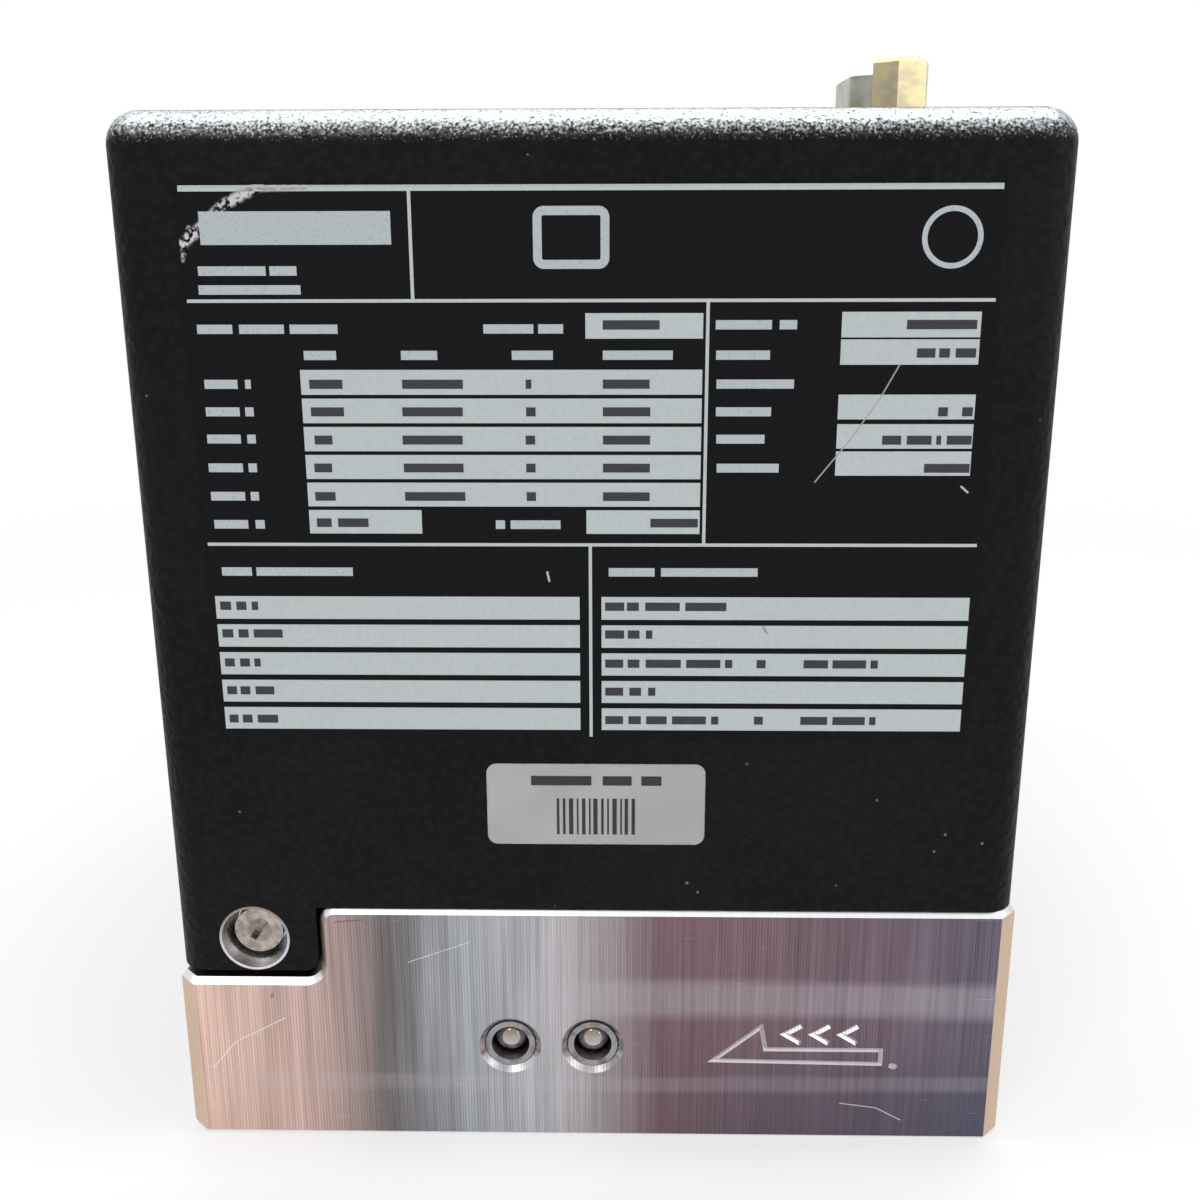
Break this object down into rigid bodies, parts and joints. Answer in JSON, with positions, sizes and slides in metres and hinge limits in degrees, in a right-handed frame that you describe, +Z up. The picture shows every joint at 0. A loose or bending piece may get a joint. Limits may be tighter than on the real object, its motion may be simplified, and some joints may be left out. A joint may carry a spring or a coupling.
{
  "type": "mass flow controller",
  "caption": "Box-shaped gas flow controller: a milled block with threaded side ports and ball-plugged drillings under a black cover with labels, corner tabs and a D-shaped connector on top.",
  "frame": {"origin": "centre of the block's underside", "axes": "+X to the right of the labelled front, the side where gas comes in; +Y away from the labelled front; +Z up, towards the connector"},
  "size_m": [0.1, 0.11, 0.1253],
  "materials": {
    "aluminium": "milled",
    "black_coat": "textured powder coat",
    "plated_steel": "bright plated",
    "polished_steel": "polished",
    "tinned_steel": "dull tinned",
    "brass": "bright",
    "black_plastic": "moulded",
    "grey_plastic": "moulded",
    "label_film": "satin film",
    "label_print": "printed",
    "sticker_film": "satin film",
    "board": "lacquered laminate",
    "stainless": "turned",
    "coil": "moulded",
    "seal": "matt"
  },
  "bodies": {
    "housing": {"gas_block": "aluminium", "cover": "black_coat", "cover_screws": "plated_steel", "cup_washers": "plated_steel", "plug_sleeves": "plated_steel", "plug_balls": "polished_steel", "dsub_front_shell": "tinned_steel", "dsub_rear_shell": "tinned_steel", "dsub_insulator": "black_plastic", "dsub_pins": "brass", "jackscrews": "brass", "jackscrew_nuts": "plated_steel", "data_label": "label_film", "label_fields": "label_print", "serial_label": "sticker_film", "main_board": "board", "board_chips": "black_plastic", "board_bracket_front": "plated_steel", "board_bracket_rear": "plated_steel", "bracket_screws": "plated_steel", "board_screws": "plated_steel", "board_nuts": "plated_steel", "valve_board": "board", "board_pillars": "brass", "pillar_screws": "plated_steel", "link_connector": "black_plastic", "sensor_sockets": "black_plastic", "sensor_seals": "seal", "sensor_screws": "plated_steel", "valve_cores": "stainless", "coil_nuts": "plated_steel", "valve_seals": "seal", "valve_screws": "plated_steel", "flow_sensor_1": "grey_plastic", "valve_body_1": "stainless", "valve_spring_1": "stainless", "valve_coil_1": "coil", "flow_sensor_2": "grey_plastic", "valve_body_2": "stainless", "valve_spring_2": "stainless", "valve_coil_2": "coil", "flow_sensor_3": "grey_plastic", "valve_body_3": "stainless", "valve_spring_3": "stainless", "valve_coil_3": "coil", "flow_sensor_4": "grey_plastic", "valve_body_4": "stainless", "valve_spring_4": "stainless", "valve_coil_4": "coil", "flow_sensor_5": "grey_plastic", "valve_body_5": "stainless", "valve_spring_5": "stainless", "valve_coil_5": "coil"},
    "plunger_1": {"valve_plunger_1": "stainless"},
    "plunger_2": {"valve_plunger_2": "stainless"},
    "plunger_3": {"valve_plunger_3": "stainless"},
    "plunger_4": {"valve_plunger_4": "stainless"},
    "plunger_5": {"valve_plunger_5": "stainless"}
  },
  "joints": [
    {"name": "plunger_1_lift", "type": "slide", "parent": "housing", "child": "plunger_1", "axis": [0, 0, 1], "range_m": [0, 0.0004], "stiffness_N_per_m": 300, "springref_m": -0.002, "deforming": ["valve_spring_1"]},
    {"name": "plunger_2_lift", "type": "slide", "parent": "housing", "child": "plunger_2", "axis": [0, 0, 1], "range_m": [0, 0.0004], "stiffness_N_per_m": 300, "springref_m": -0.002, "deforming": ["valve_spring_2"]},
    {"name": "plunger_3_lift", "type": "slide", "parent": "housing", "child": "plunger_3", "axis": [0, 0, 1], "range_m": [0, 0.0004], "stiffness_N_per_m": 300, "springref_m": -0.002, "deforming": ["valve_spring_3"]},
    {"name": "plunger_4_lift", "type": "slide", "parent": "housing", "child": "plunger_4", "axis": [0, 0, 1], "range_m": [0, 0.0004], "stiffness_N_per_m": 300, "springref_m": -0.002, "deforming": ["valve_spring_4"]},
    {"name": "plunger_5_lift", "type": "slide", "parent": "housing", "child": "plunger_5", "axis": [0, 0, 1], "range_m": [0, 0.0004], "stiffness_N_per_m": 300, "springref_m": -0.002, "deforming": ["valve_spring_5"]}
  ]
}
